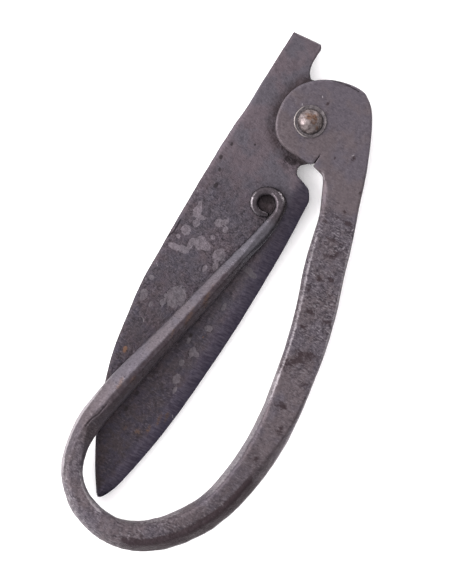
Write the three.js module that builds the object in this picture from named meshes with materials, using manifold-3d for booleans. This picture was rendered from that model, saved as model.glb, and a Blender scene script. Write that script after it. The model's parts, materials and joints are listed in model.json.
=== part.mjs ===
// A forged friction-folding hook knife, folded, lying on its back.
//
// One bar makes the whole handle: its flattened eye takes the rivet, its flat arm runs away from the eye,
// turns round a bow, and comes back as a tapering bar that lies across the blade and ends in a small curl.
// The blade turns on the rivet behind the handle, and its tang ends in a square tab for the thumb.
//
// Millimetres. X runs along the knife towards the tab, Y across it towards the blade's spine, and Z up
// through the front, which is the side that the handle is on. Z is 0 at the foot of the rivet's back head.
import * as THREE from "three";
import { mergeVertices } from "three/addons/utils/BufferGeometryUtils.js";
import Module from "manifold-3d";

const wasm = await Module();
wasm.setup();

// Rivet and its washers
const PIVOT = new THREE.Vector2(49, 4.3);
const SHANK_RADIUS = 2;
const HEAD_RADIUS = 3.3;
const BACK_HEAD_HEIGHT = 1.6;
const BACK_HEAD_FLAT = 1.5;
const FRONT_HEAD_HEIGHT = 2;
const WASHER_RADIUS = 4.25;
const WASHER_THICK = 0.5;
const BORE_RADIUS = SHANK_RADIUS + 0.08;
const ROUND_SIDES = 48;
const CROWN_STEPS = 6;

// The stack on the rivet, from the back to the front
const SEAT_GAP = 0.05;
const BLADE_GAP = 0.1;
const TANG_THICK = 2.4;
const EYE_THICK = 3;
const BACK_WASHER_Z = BACK_HEAD_HEIGHT + SEAT_GAP;
const BLADE_Z = BACK_WASHER_Z + WASHER_THICK + SEAT_GAP;
const HANDLE_Z = BLADE_Z + TANG_THICK + BLADE_GAP;
const FRONT_WASHER_Z = HANDLE_Z + EYE_THICK + SEAT_GAP;
const FRONT_HEAD_Z = FRONT_WASHER_Z + WASHER_THICK + SEAT_GAP;

// Blade
const TIP_X = -58.6;
const HEEL_X = 31.2;
const NECK_X = 36.8;
const TAB_X = 68;
const TIP_THICK = 1.5;
const EDGE_THICK = 0.2;
const BEVEL_WIDTH = 4.6;
const TIP_BEVEL_SHARE = 0.5;
const SPINE_CHAMFER = 0.45;
// The most of the blade's depth that the chamfer may take
const CHAMFER_SHARE = 0.25;
const TANG_CHAMFER = 0.3;
const TANG_RADIUS = 10.4;
const TANG_FROM = THREE.MathUtils.degToRad(22);
const TANG_TO = THREE.MathUtils.degToRad(-157);
const STATION_STEP = 4;
const TIP_STATIONS = [0, 0.6, 1.4, 2.6];
// How far the tang's plate runs into the ground part
const TANG_LAP = 0.5;
const TANG_STEPS = 30;
const NOTCH_STEPS = 8;
const SPINE = curve2([
  [TIP_X, 11.8], [-56, 13.6], [-50, 16.7], [-42, 19.95], [-34, 22.1], [-25, 23.95], [-16, 24.75], [-7, 25.1],
  [2, 24.6], [12, 23.8], [22, 23], [32, 22.1], [40, 21.1], [46, 20.1], [51, 19.6], [61, 18.6], [TAB_X, 17.7],
]);
const EDGE = curve2([
  [TIP_X, 11.4], [-57.2, 10.2], [-54.5, 8.75], [-50, 7.25], [-41, 4.8], [-31, 2.6], [-20, 0.7], [-8, -1],
  [4, -2.4], [16, -3.45], [26, -3.95], [HEEL_X, -4.1],
]);
const HEEL = curve2([[HEEL_X, -4.1], [33.4, -3], [34.7, -1.2], [35.3, 0.3], [36, 1.5], [NECK_X, 2.1]]);
const HEEL_STATIONS = [32.2, 33.4, 34.2, 34.8, 35.4, 36.1];
const TAB_END = [[TAB_X, 17.7], [67.8, 14], [TAB_X, 10.6], [67.6, 9.7]];
const TAB_NOTCH = curve2([[66, 9.75], [62, 10], [60.3, 9.6], [59.2, 8.9]]);
const CHOIL = [[38.8, 1.3], [38, 1.9], [37.2, 2.1], [NECK_X - TANG_LAP, 1.8]];

// Sections of the handle's bar. Across runs from the outer side of the bow, -1, to its inner side, 1, and up
// from the back, 0, to the front, 1.
const SECTIONS = {
  flat: [[-1, 0.12], [-1, 0.86], [-0.94, 1], [0.8, 1], [1, 0.7], [1, 0.12], [0.94, 0], [-0.94, 0]],
  turning: [[-1, 0.2], [-1, 0.74], [-0.76, 1], [0.68, 1], [1, 0.66], [1, 0.2], [0.8, 0], [-0.8, 0]],
  bow: [[-1, 0.28], [-1, 0.6], [-0.52, 1], [0.5, 1], [1, 0.6], [1, 0.28], [0.62, 0], [-0.62, 0]],
  ridge: [[-1, 0.32], [-1, 0.6], [0.08, 1], [0.28, 0.97], [1, 0.42], [1, 0.3], [0.52, 0], [-0.52, 0]],
  wire: [[-1, 0.3], [-1, 0.7], [-0.45, 1], [0.45, 1], [1, 0.7], [1, 0.3], [0.45, 0], [-0.45, 0]],
};
// Stations along the bar: the x and y of its middle, its width, its thickness and its section
const ARM = [
  [37, -10.5, 9.2, 2.9, "flat"], [33, -11.7, 9.4, 3, "flat"], [28, -12.8, 9.5, 3.2, "flat"],
  [20, -14.3, 10.1, 3.6, "flat"], [10, -16.6, 10.3, 4, "flat"], [0, -18.6, 9.9, 4.3, "flat"],
  [-10, -19.65, 9.5, 4.7, "flat"],
];
const BOW = [
  [-20, -20.4, 9.3, 5.1, "turning"], [-30, -20.15, 8.8, 5.5, "bow"], [-40, -18.4, 8.3, 5.8, "bow"],
  [-46.5, -16.35, 8.1, 5.9, "bow"], [-52.2, -13.5, 8, 6, "bow"], [-57.5, -9.2, 7.9, 6, "bow"],
  [-61, -5.1, 7.7, 6, "bow"], [-63.4, -0.8, 7.2, 6, "bow"], [-64.5, 4.3, 7, 6, "bow"],
  [-64, 9.4, 6.7, 5.9, "bow"], [-62, 14, 6.5, 5.8, "bow"], [-58.9, 17.8, 6.2, 5.7, "bow"],
  [-54.4, 20.75, 5.9, 5.6, "bow"], [-48.5, 22.15, 6, 5.5, "bow"],
];
const RETURN_BAR = [
  [-42, 21.7, 6.3, 5.4, "ridge"], [-36, 20.3, 6.3, 5.3, "ridge"], [-30, 18.7, 6.2, 5.2, "ridge"],
  [-20, 15.5, 5.5, 4.9, "ridge"], [-10, 12, 5.1, 4.5, "ridge"], [0, 8.6, 4.5, 4.1, "ridge"],
  [10, 5.8, 3.9, 3.6, "ridge"], [17, 3.5, 3.9, 3.2, "wire"], [21, 2.2, 3.5, 2.8, "wire"],
];
// The curl, at even turns about its centre: the radius of its middle line, and its width and thickness
const CURL_CENTRE = new THREE.Vector2(25.9, 5.4);
const CURL_FROM = THREE.MathUtils.degToRad(-112);
const CURL_TO = THREE.MathUtils.degToRad(206);
const CURL_RADIUS = [3.9, 3.37, 3.1, 3.01, 3.13, 3.24, 3.27, 3.11, 3.12];
const CURL_WIDTH = [2.6, 2.54, 2.09, 1.7, 1.77, 1.92, 1.55, 1.5, 1.32];
const RINGS_PER_STATION = 4;
const EYE_CHAMFER = 0.4;
const EYE_OUTLINE = curve2([
  [31, -16.4], [36, -15.8], [42, -14.4], [48, -12.6], [54, -10.4], [59, -7.9], [61.2, -5.4], [61.8, -2],
  [61.2, 2.5], [59.5, 6.4], [56, 10.6], [50, 12.75], [44, 11.6], [41.2, 9.1], [40, 6], [39.6, 2], [39.4, -1],
  [38.9, -2.5], [38.4, -4], [37, -4.9], [34, -6.1], [31, -7.5],
]);
const EYE_STEPS = 84;
// The cold shut where the eye was folded against the arm
const SEAM = [
  [38.5, -0.4], [39.4, -0.68], [41.4, -1.22], [42.6, -1.45], [41.4, -1.45], [39.3, -1.02], [38.5, -0.9],
];
// How far a cutting shape reaches past the face that it cuts
const CUT_PAST = 1;

const SEARCH_STEPS = 40;
const WELD = 1e-4;

function vectors2(points) {
  return points.map(([x, y]) => new THREE.Vector2(x, y));
}

function curve2(points) {
  return new THREE.SplineCurve(vectors2(points));
}

// The y of a curve that runs along X, at one x
function yAt(curve, x) {
  let low = 0;
  let high = 1;
  for (let i = 0; i < SEARCH_STEPS; i++) {
    const middle = (low + high) / 2;
    if (curve.getPoint(middle).x < x) low = middle;
    else high = middle;
  }
  return curve.getPoint(low).y;
}

function toSolid(geometry) {
  const bare = geometry.index ? geometry.toNonIndexed() : geometry.clone();
  bare.deleteAttribute("normal");
  bare.deleteAttribute("uv");
  const merged = mergeVertices(bare, WELD);
  return new wasm.Manifold(
    new wasm.Mesh({
      numProp: 3,
      vertProperties: new Float32Array(merged.attributes.position.array),
      triVerts: new Uint32Array(merged.index.array),
    }),
  );
}

function toGeometry(solid) {
  const mesh = solid.getMesh();
  const geometry = new THREE.BufferGeometry();
  geometry.setAttribute("position", new THREE.BufferAttribute(mesh.vertProperties, 3));
  geometry.setIndex(new THREE.BufferAttribute(mesh.triVerts, 1));
  geometry.computeVertexNormals();
  return geometry;
}

// A closed skin over rings of as many points each, with flat ends
function loft(rings) {
  const sides = rings[0].length;
  const positions = rings.flat().flatMap((p) => [p.x, p.y, p.z]);
  const index = [];
  for (let r = 0; r + 1 < rings.length; r++) {
    for (let s = 0; s < sides; s++) {
      const a = r * sides + s;
      const b = r * sides + ((s + 1) % sides);
      index.push(a, b, a + sides, b, b + sides, a + sides);
    }
  }
  const last = (rings.length - 1) * sides;
  for (let s = 1; s + 1 < sides; s++) {
    index.push(0, s + 1, s, last, last + s, last + s + 1);
  }
  const geometry = new THREE.BufferGeometry();
  geometry.setAttribute("position", new THREE.Float32BufferAttribute(positions, 3));
  geometry.setIndex(index);
  return toSolid(geometry);
}

// A plate of one outline between two heights, with its corners broken by a chamfer
function plate(outline, low, thick, chamfer) {
  const geometry = new THREE.ExtrudeGeometry(new THREE.Shape(outline), {
    depth: thick - 2 * chamfer,
    bevelEnabled: chamfer > 0,
    bevelSize: chamfer,
    bevelThickness: chamfer,
    bevelOffset: -chamfer,
    bevelSegments: 1,
  });
  geometry.translate(0, 0, low + chamfer);
  return toSolid(geometry);
}

// A round bar on the pivot's axis
function post(radius, low, high) {
  const geometry = new THREE.CylinderGeometry(radius, radius, high - low, ROUND_SIDES);
  geometry.rotateX(Math.PI / 2);
  geometry.translate(PIVOT.x, PIVOT.y, (low + high) / 2);
  return toSolid(geometry);
}

function turned(profile) {
  const geometry = new THREE.LatheGeometry(profile, ROUND_SIDES);
  geometry.rotateX(Math.PI / 2);
  geometry.translate(PIVOT.x, PIVOT.y, 0);
  return toSolid(geometry);
}

// The blade's section at one x, from its spine down its front to the edge and up its back. The bevel is
// measured from the cutting edge, and past the heel it is cut off where the outline leaves the edge's line.
function bladeRing(x) {
  const edgeLine = x < HEEL_X ? yAt(EDGE, x) : EDGE.getPoint(1).y;
  const low = x < HEEL_X ? edgeLine : yAt(HEEL, x);
  const high = yAt(SPINE, x);
  const bevel = Math.min(BEVEL_WIDTH, (high - edgeLine) * TIP_BEVEL_SHARE);
  const chamfer = Math.min(SPINE_CHAMFER, (high - low) * CHAMFER_SHARE);
  const thick = THREE.MathUtils.mapLinear(Math.min(x, HEEL_X), TIP_X, HEEL_X, TIP_THICK, TANG_THICK);
  const ground = Math.min(1, (low - edgeLine) / bevel);
  const half = [
    [high, thick / 2 - chamfer],
    [high - chamfer, thick / 2],
    [Math.max(edgeLine + bevel, low + chamfer), thick / 2],
    [low, THREE.MathUtils.lerp(EDGE_THICK, thick, ground) / 2],
  ];
  const middle = BLADE_Z + TANG_THICK / 2;
  const front = half.map(([y, z]) => new THREE.Vector3(x, y, middle + z));
  const back = half.map(([y, z]) => new THREE.Vector3(x, y, middle - z)).reverse();
  return [...front, ...back];
}

function makeGroundPart() {
  const places = TIP_STATIONS.map((x) => TIP_X + x);
  for (let x = TIP_X + STATION_STEP; x < HEEL_X - STATION_STEP / 4; x += STATION_STEP) places.push(x);
  places.push(HEEL_X, ...HEEL_STATIONS, NECK_X);
  return loft(places.map(bladeRing));
}

function makeTang() {
  const outline = [];
  for (let x = NECK_X - TANG_LAP; x < TAB_X; x += STATION_STEP) {
    outline.push(new THREE.Vector2(x, yAt(SPINE, x)));
  }
  const round = new THREE.EllipseCurve(PIVOT.x, PIVOT.y, TANG_RADIUS, TANG_RADIUS, TANG_FROM, TANG_TO, true);
  outline.push(...vectors2(TAB_END), ...TAB_NOTCH.getPoints(NOTCH_STEPS));
  outline.push(...round.getPoints(TANG_STEPS), ...vectors2(CHOIL));
  return plate(outline, BLADE_Z, TANG_THICK, TANG_CHAMFER);
}

function makeBlade() {
  return makeGroundPart()
    .add(makeTang())
    .subtract(post(BORE_RADIUS, 0, HANDLE_Z));
}

function curlStations() {
  return CURL_RADIUS.map((radius, i) => {
    const turn = THREE.MathUtils.lerp(CURL_FROM, CURL_TO, i / (CURL_RADIUS.length - 1));
    const x = CURL_CENTRE.x + radius * Math.cos(turn);
    const y = CURL_CENTRE.y + radius * Math.sin(turn);
    return [x, y, CURL_WIDTH[i], CURL_WIDTH[i], "wire"];
  });
}

function makeBar() {
  const stations = [...ARM, ...BOW, ...RETURN_BAR, ...curlStations()];
  const route = new THREE.CatmullRomCurve3(stations.map(([x, y]) => new THREE.Vector3(x, y, HANDLE_Z)));
  const sizes = new THREE.SplineCurve(stations.map(([, , width, thick]) => new THREE.Vector2(width, thick)));
  const spans = stations.length - 1;
  const rings = [];
  for (let i = 0; i <= spans * RINGS_PER_STATION; i++) {
    const place = i / RINGS_PER_STATION;
    const station = Math.min(Math.floor(place), spans - 1);
    const share = place - station;
    const centre = route.getPoint(place / spans);
    const ahead = route.getTangent(place / spans);
    const inward = new THREE.Vector3(ahead.y, -ahead.x, 0);
    const size = sizes.getPoint(place / spans);
    const next = SECTIONS[stations[station + 1][4]];
    const ring = SECTIONS[stations[station][4]].map(([across, up], k) => {
      const offset = (THREE.MathUtils.lerp(across, next[k][0], share) * size.x) / 2;
      const lift = THREE.MathUtils.lerp(up, next[k][1], share) * size.y;
      return new THREE.Vector3(0, 0, lift).addScaledVector(inward, offset).add(centre);
    });
    rings.push(ring);
  }
  return loft(rings);
}

function makeHandle() {
  const eye = plate(EYE_OUTLINE.getPoints(EYE_STEPS), HANDLE_Z, EYE_THICK, EYE_CHAMFER);
  const seam = plate(vectors2(SEAM), HANDLE_Z - CUT_PAST, EYE_THICK + 2 * CUT_PAST, 0);
  return eye
    .add(makeBar())
    .subtract(seam)
    .subtract(post(BORE_RADIUS, 0, FRONT_HEAD_Z));
}

// Half of a head's outline, from its rim to the flat at its crown
function crown(rimZ, crownZ, flat) {
  const points = [];
  for (let i = 0; i <= CROWN_STEPS; i++) {
    const turn = (i / CROWN_STEPS) * (Math.PI / 2);
    const radius = flat + (HEAD_RADIUS - flat) * Math.cos(turn);
    const z = THREE.MathUtils.lerp(rimZ, crownZ, Math.sin(turn));
    points.push(new THREE.Vector2(i < CROWN_STEPS ? radius : flat, z));
  }
  return points;
}

function makeRivet() {
  return turned([
    new THREE.Vector2(0, 0),
    ...crown(BACK_HEAD_HEIGHT, 0, BACK_HEAD_FLAT).reverse(),
    new THREE.Vector2(SHANK_RADIUS, BACK_HEAD_HEIGHT),
    new THREE.Vector2(SHANK_RADIUS, FRONT_HEAD_Z),
    ...crown(FRONT_HEAD_Z, FRONT_HEAD_Z + FRONT_HEAD_HEIGHT, 0),
  ]);
}

function makeWasher(low) {
  const high = low + WASHER_THICK;
  return post(WASHER_RADIUS, low, high).subtract(post(BORE_RADIUS, low - CUT_PAST, high + CUT_PAST));
}

function steel(colour, roughness) {
  return new THREE.MeshStandardMaterial({ color: colour, roughness, metalness: 0.85 });
}

function piece(name, solid, material) {
  const mesh = new THREE.Mesh(toGeometry(solid), material);
  mesh.name = name;
  return mesh;
}

const scaled = steel(0x6c656c, 0.5);
const ground = steel(0x56525a, 0.45);
const bright = steel(0x9a9288, 0.35);

const knife = new THREE.Group();
knife.add(
  piece("forged_handle", makeHandle(), scaled),
  piece("blade", makeBlade(), ground),
  piece("pivot_rivet", makeRivet(), bright),
  piece("front_washer", makeWasher(FRONT_WASHER_Z), bright),
  piece("back_washer", makeWasher(BACK_WASHER_Z), bright),
);

export default knife;
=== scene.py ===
"""A hand-forged friction-folding hook knife, folded, seen from straight above on a pale floor.

The frame's CAD pieces carry the sizes, the joint and the collision. Here each of them is replaced by a
fine mesh of the same shape with forged, ground and worn surfaces. Outlines are in millimetres in the part's
frame: X towards the thumb tab, Y towards the blade's spine, Z out of the front.
"""

import json
import math

import bmesh
import bpy
import numpy as np
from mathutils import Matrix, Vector, noise


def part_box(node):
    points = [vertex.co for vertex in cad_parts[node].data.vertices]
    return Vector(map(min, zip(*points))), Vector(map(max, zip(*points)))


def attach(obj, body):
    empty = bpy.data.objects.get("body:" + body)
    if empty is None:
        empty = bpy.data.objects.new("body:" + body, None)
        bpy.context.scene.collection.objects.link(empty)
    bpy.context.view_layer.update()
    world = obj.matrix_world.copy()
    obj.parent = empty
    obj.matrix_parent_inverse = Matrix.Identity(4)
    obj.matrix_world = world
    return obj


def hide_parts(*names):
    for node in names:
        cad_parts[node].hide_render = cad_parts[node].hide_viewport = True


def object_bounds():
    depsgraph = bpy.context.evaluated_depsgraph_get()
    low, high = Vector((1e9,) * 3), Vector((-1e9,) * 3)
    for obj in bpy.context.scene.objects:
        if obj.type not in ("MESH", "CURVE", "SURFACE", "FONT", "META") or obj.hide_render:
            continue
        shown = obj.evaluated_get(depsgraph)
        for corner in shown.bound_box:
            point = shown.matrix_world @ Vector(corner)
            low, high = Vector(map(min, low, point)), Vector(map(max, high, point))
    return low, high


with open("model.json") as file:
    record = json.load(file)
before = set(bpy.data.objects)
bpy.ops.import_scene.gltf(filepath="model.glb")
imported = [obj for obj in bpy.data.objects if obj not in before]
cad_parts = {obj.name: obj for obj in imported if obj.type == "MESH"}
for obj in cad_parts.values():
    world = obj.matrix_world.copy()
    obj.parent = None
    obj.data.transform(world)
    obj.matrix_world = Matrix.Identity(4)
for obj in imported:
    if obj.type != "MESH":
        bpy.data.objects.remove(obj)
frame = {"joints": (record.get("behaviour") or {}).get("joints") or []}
cad_low, cad_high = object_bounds()

MM = 0.001

# ---------------------------------------------------------------- places taken from the frame

PIVOT = np.array(frame["joints"][0]["pos_m"][:2]) / MM


def levels(node):
    """The lowest and highest z of a CAD node, in millimetres."""
    low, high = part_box(node)
    return low.z / MM, high.z / MM


BACK_WASHER_Z, BACK_WASHER_TOP = levels("back_washer")
BLADE_Z = levels("blade")[0]
HANDLE_Z = levels("forged_handle")[0]
FRONT_WASHER_Z, FRONT_WASHER_TOP = levels("front_washer")
RIVET_Z, RIVET_TOP = levels("pivot_rivet")

# Radii of the rivet's shank, of the holes that it runs through, of its two heads and of the washers
SHANK_RADIUS = 2.0
BORE_RADIUS = 2.08
HEAD_RADIUS = 3.3
WASHER_RADIUS = 4.2

# ---------------------------------------------------------------- the handle's shape

# Corners of the bar's section: across runs from its outer side, -1, to its inner side, 1, and up runs from
# its back, 0, to its front, 1.
SECTIONS = {
    "eye": [(-1, .12), (-1, .88), (-.965, 1), (.965, 1), (1, .88), (1, .12), (.965, 0), (-.965, 0)],
    "flat": [(-1, .12), (-1, .86), (-.93, 1), (.79, 1), (1, .78), (1, .12), (.94, 0), (-.94, 0)],
    "turning": [(-1, .2), (-1, .72), (-.75, 1), (.7, 1), (1, .66), (1, .2), (.8, 0), (-.8, 0)],
    "bow": [(-1, .28), (-1, .56), (-.5, 1), (.6, 1), (1, .62), (1, .28), (.62, 0), (-.62, 0)],
    "crown": [(-1, .28), (-1, .58), (-.28, .97), (.76, 1), (1, .82), (1, .28), (.62, 0), (-.62, 0)],
    "lean": [(-1, .3), (-1, .6), (-.2, 1), (.08, .97), (1, .62), (1, .3), (.52, 0), (-.52, 0)],
    "ridge": [(-1, .3), (-1, .62), (-.04, 1), (.42, .95), (1, .45), (1, .3), (.52, 0), (-.52, 0)],
    "wire": [(-1, .3), (-1, .7), (-.45, 1), (.45, 1), (1, .7), (1, .3), (.45, 0), (-.45, 0)],
}
# How far the hammer has rounded each section's corners, from 0 to 1
ROUNDING = {
    "eye": 0, "flat": .1, "turning": .18, "bow": .25, "crown": .3, "lean": .4, "ridge": .5, "wire": .8,
}
ROUNDING_PASSES = 12
# How many steps the mesh takes between a section's corners, from the foot of its outer side round to its back
SIDE_STEPS = 4
CHAMFER_STEPS = 8
BACK_CHAMFER_STEPS = 4
FLAT_STEPS = 26
SECTION_STEPS = [
    SIDE_STEPS, CHAMFER_STEPS, FLAT_STEPS, CHAMFER_STEPS, SIDE_STEPS, BACK_CHAMFER_STEPS, FLAT_STEPS,
    BACK_CHAMFER_STEPS,
]
# Stations along the bar: outer x and y, inner x and y, thickness, section
BAR = [
    (61.35, -5.05, 39.35, -.95, 3.0, "eye"),
    (59.0, -7.9, 38.75, -2.7, 3.0, "eye"),
    (54.5, -10.2, 38.35, -3.9, 3.0, "eye"),
    (48.2, -12.5, 37.3, -4.8, 3.0, "eye"),
    (42.2, -14.35, 35.5, -5.5, 3.0, "flat"),
    (36.5, -15.65, 32.8, -6.55, 3.0, "flat"),
    (31, -16.95, 29, -7.9, 3.1, "flat"),
    (25, -18.4, 23.5, -8.7, 3.4, "flat"),
    (17, -20.1, 15.5, -10.05, 3.75, "flat"),
    (8, -22.25, 7, -12.2, 4.05, "flat"),
    (-2, -23.8, -2, -13.95, 4.4, "flat"),
    (-12, -24.5, -12, -15.1, 4.75, "flat"),
    (-22, -24.95, -22, -15.8, 5.15, "turning"),
    (-32, -24.15, -31, -15.4, 5.5, "bow"),
    (-42, -21.95, -39.3, -13.95, 5.8, "bow"),
    (-51, -18.6, -46.2, -11.85, 5.9, "bow"),
    (-58.8, -13.2, -52.1, -8.05, 6.0, "bow"),
    (-64.4, -6.8, -56.8, -3.5, 6.0, "bow"),
    (-67.3, -.1, -59.7, .8, 6.0, "bow"),
    (-67.95, 6, -60.9, 5.3, 6.0, "crown"),
    (-66.9, 10.6, -60.6, 9.0, 5.9, "crown"),
    (-64.5, 15.8, -59.1, 12.9, 5.8, "crown"),
    (-60.5, 20.3, -57, 15.9, 5.7, "crown"),
    (-55, 23.6, -53.8, 18.1, 5.6, "crown"),
    (-49, 24.8, -50, 19.15, 5.5, "crown"),
    (-42, 24.9, -44.4, 19.0, 5.4, "lean"),
    (-36, 23.55, -38.3, 17.65, 5.3, "ridge"),
    (-30, 21.85, -32.3, 15.85, 5.2, "ridge"),
    (-23, 19.4, -25, 13.85, 5.0, "ridge"),
    (-14, 16.1, -15.7, 11.0, 4.7, "ridge"),
    (-4, 12.65, -5.4, 7.85, 4.3, "ridge"),
    (6, 9.25, 4.8, 5.0, 3.8, "ridge"),
    (13, 6.75, 11.8, 3.2, 3.4, "ridge"),
    (18, 5.0, 16.8, 1.6, 3.1, "wire"),
    (21.4, 4.0, 20.7, .65, 2.8, "wire"),
]
# The curl's centre, the angles that it turns between, and its wire's mean radii and widths at even steps
CURL_CENTRE = np.array([26.2, 5.3])
CURL_TURN = (-112, 206)
CURL_RADII = [3.9, 3.42, 3.12, 2.93, 2.98, 3.18, 3.32, 3.2, 3.12]
CURL_WIDTHS = [2.8, 2.9, 2.5, 2.05, 2.0, 2.1, 1.95, 1.7, 1.25]
CURL_LEAST_THICK = 1.1
# How the curl's end closes past the bar's last ring: the size of each closing ring and how far on it lies,
# and how far on its end point lies
TIP_RINGS = [(.86, .16), (.6, .28), (.25, .34)]
TIP_REACH = .36
RING_SPACING = .45
CURL_SPACING = .22
# A path's rows hold both its sides, so they are this much farther apart than the points on one side
PATH_STRETCH = 1.4
STEADY_PASSES = 10

# The eye's outline, from the bar's inner edge round the top to its outer edge
EYE_OUTLINE = [
    (39.35, -.95), (39.5, .5), (39.65, 2.5), (39.85, 4.6), (40.15, 6.5), (40.8, 8.4), (42, 10.15),
    (43.8, 11.5), (46, 12.35), (48.5, 12.68), (51, 12.65), (53.5, 12), (55.8, 10.75), (57.8, 9), (59.3, 7),
    (60.5, 4.6), (61.3, 2), (61.7, -.8), (61.7, -3.2), (61.35, -5.05),
]
EYE_SPACING = .5
EYE_THICK = 3.0
EYE_RADIAL_STEPS = 16
BORE_STEPS = 3
# The cold shut between the eye and the neck: how many steps in it runs and how wide its mouth is
SLIT_STEPS = 4
SLIT_WIDTH = .34

# ---------------------------------------------------------------- the blade's shape

# Stations along the blade: x and y on its lower outline, and x and y on its spine
BLADE = [
    (-58.6, 11.45, -58.6, 11.75), (-58.2, 11.0, -58.15, 12.25), (-57.2, 10.25, -56.9, 13.0),
    (-55, 9.0, -54.5, 14.4), (-50, 7.3, -50, 16.6), (-41, 4.8, -42, 19.9), (-31, 2.6, -34, 22.0),
    (-20, .75, -25, 23.9), (-8, -1.0, -14, 24.75), (4, -2.35, -5, 25.05), (9.3, -2.85, 0, 24.75),
    (14, -3.25, 5, 24.35), (19, -3.6, 10, 24.0), (24, -3.85, 15, 23.6), (28, -3.98, 20, 23.15),
    (30.9, -4.07, 25, 22.7), (31.35, -4.0, 25.8, 22.6), (33.1, -3.1, 27.5, 22.42),
    (33.5, -2.85, 28.2, 22.35), (34.15, -1.9, 29.6, 22.25), (34.75, -.7, 31, 22.1),
    (35.15, .35, 32.4, 22.0), (35.6, 1.25, 33.8, 21.85), (36.3, 1.8, 35.2, 21.7), (37.1, 2.05, 36.6, 21.5),
    (38.2, 1.7, 38.2, 21.3), (39.3, .3, 40, 21.1),
]
# The station past which the blade's lower outline is a plain wall and no longer ground
GROUND_END = 20
# The tang's round part runs on from the last of those stations, and the tab follows it
TANG_RADIUS = 10.4
TANG_TURN = (-154, 22)
TANG_STATIONS = 14
TANG_SPINE = [
    (41.5, 20.85), (44, 20.35), (47, 19.95), (50, 19.65), (53, 19.4), (56, 19.1), (58.5, 18.85),
]
TANG_SPINE_SPACING = .5
TAB = [
    (59.6, 9.2, 59.6, 18.72), (60.6, 9.72, 60.6, 18.63), (62.3, 9.98, 62.3, 18.45), (65, 9.82, 65, 18.1),
    (67.3, 9.75, 67.5, 17.8), (67.85, 10.1, 67.85, 17.75),
]
# The cutting edge, carried on along the tang as the line that the bevel is measured from
EDGE_LINE = [
    (-58.6, 11.45), (-57.2, 10.25), (-55, 9), (-50, 7.3), (-41, 4.8), (-31, 2.6), (-20, .75), (-8, -1),
    (4, -2.35), (14, -3.25), (24, -3.85), (31, -4.06), (68, -4.1),
]
HEEL_X = 31
TIP_THICK = 1.5
TANG_THICK = 2.4
EDGE_THICK = .16
BEVEL_WIDTH = 4.5
# How wide the rounding along the spine and along the tang's lower side is, and how deep it cuts each face:
# along the spine it is deep on the blade and slight on the tab
SPINE_ROUND = .75
SPINE_ROUND_DEPTH = [.42, .1]
SPINE_ROUND_CHANGE = [42, 52]
TANG_ROUND = .35
TANG_ROUND_DEPTH = .28
BLADE_SPACING = .5
BLADE_ROWS = 64
BORE_SIDES = 64


# ---------------------------------------------------------------- mesh helpers

def smooth_path(points, spacing):
    """Points about spacing apart on a smooth curve through rows, and each one's place among them."""
    points = np.array(points, float)
    gap = np.maximum(np.linalg.norm(np.diff(points, axis=0), axis=1), 1e-6)
    slope = np.diff(points, axis=0) / gap[:, None]
    tangent = np.empty_like(points)
    tangent[0], tangent[-1] = slope[0], slope[-1]
    before, after = gap[:-1, None], gap[1:, None]
    tangent[1:-1] = (slope[:-1] * after + slope[1:] * before) / (before + after)
    out, where = [], []
    for i in range(len(points) - 1):
        count = max(1, int(round(gap[i] / spacing)))
        for s in np.arange(count) / count:
            out.append(
                (2 * s**3 - 3 * s**2 + 1) * points[i] + (s**3 - 2 * s**2 + s) * gap[i] * tangent[i]
                + (3 * s**2 - 2 * s**3) * points[i + 1] + (s**3 - s**2) * gap[i] * tangent[i + 1]
            )
            where.append(i + s)
    out.append(points[-1])
    where.append(len(points) - 1)
    return np.array(out), np.array(where)


def sample_noise(points, size, seed, depth=1):
    """Smooth noise from -1 to 1 at each point. size is the width of its bumps in millimetres."""
    shift = Vector((seed * 17.31, seed * 5.77, seed * 11.13))
    values = np.zeros(len(points))
    for octave in range(depth):
        scale = 2**octave / size
        values += np.array([noise.noise(Vector(p) * scale + shift) for p in points]) / 2**octave
    return values


def edge_ends(mesh):
    """The numbers of the points at the first and at the second end of every edge."""
    ends = np.empty(len(mesh.edges) * 2, np.int64)
    mesh.edges.foreach_get("vertices", ends)
    return ends[::2], ends[1::2]


def neighbour_mean(mesh, values):
    """The mean of each point's neighbours' values."""
    a, b = edge_ends(mesh)
    total = np.zeros_like(values)
    count = np.zeros(len(values))
    np.add.at(total, a, values[b])
    np.add.at(total, b, values[a])
    np.add.at(count, a, 1)
    np.add.at(count, b, 1)
    return total / count.reshape((-1,) + (1,) * (values.ndim - 1))


def read_vectors(items, name):
    values = np.empty(len(items) * 3, np.float32)
    items.foreach_get(name, values)
    return values.reshape(-1, 3).astype(float)


def get_points(mesh):
    return read_vectors(mesh.vertices, "co") / MM


def get_normals(mesh):
    return read_vectors(mesh.vertex_normals, "vector")


def set_points(mesh, points):
    mesh.vertices.foreach_set("co", (points * MM).astype(np.float32).ravel())
    mesh.update()


def relax(mesh, times):
    """Moves every point half way to its neighbours' mean, some times over."""
    points = get_points(mesh)
    for _ in range(times):
        points += (neighbour_mean(mesh, points) - points) / 2
    set_points(mesh, points)


def sharpness(mesh):
    """How sharply the surface turns: 0 where it is flat, about .4 on a square edge, below 0 in a hollow."""
    points = get_points(mesh)
    a, b = edge_ends(mesh)
    length = np.linalg.norm(points[a] - points[b], axis=1)
    total = np.zeros(len(points))
    count = np.zeros(len(points))
    for ends in (a, b):
        np.add.at(total, ends, length)
        np.add.at(count, ends, 1)
    out = np.einsum("ij,ij->i", points - neighbour_mean(mesh, points), get_normals(mesh)) * count / total
    return (out + neighbour_mean(mesh, out)) / 2


def store(mesh, name, values):
    """Stores one value for each point under a name that the materials read."""
    layer = mesh.attributes.new(name, "FLOAT", "POINT")
    layer.data.foreach_set("value", np.clip(values, -10, 10).astype(np.float32))


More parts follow.
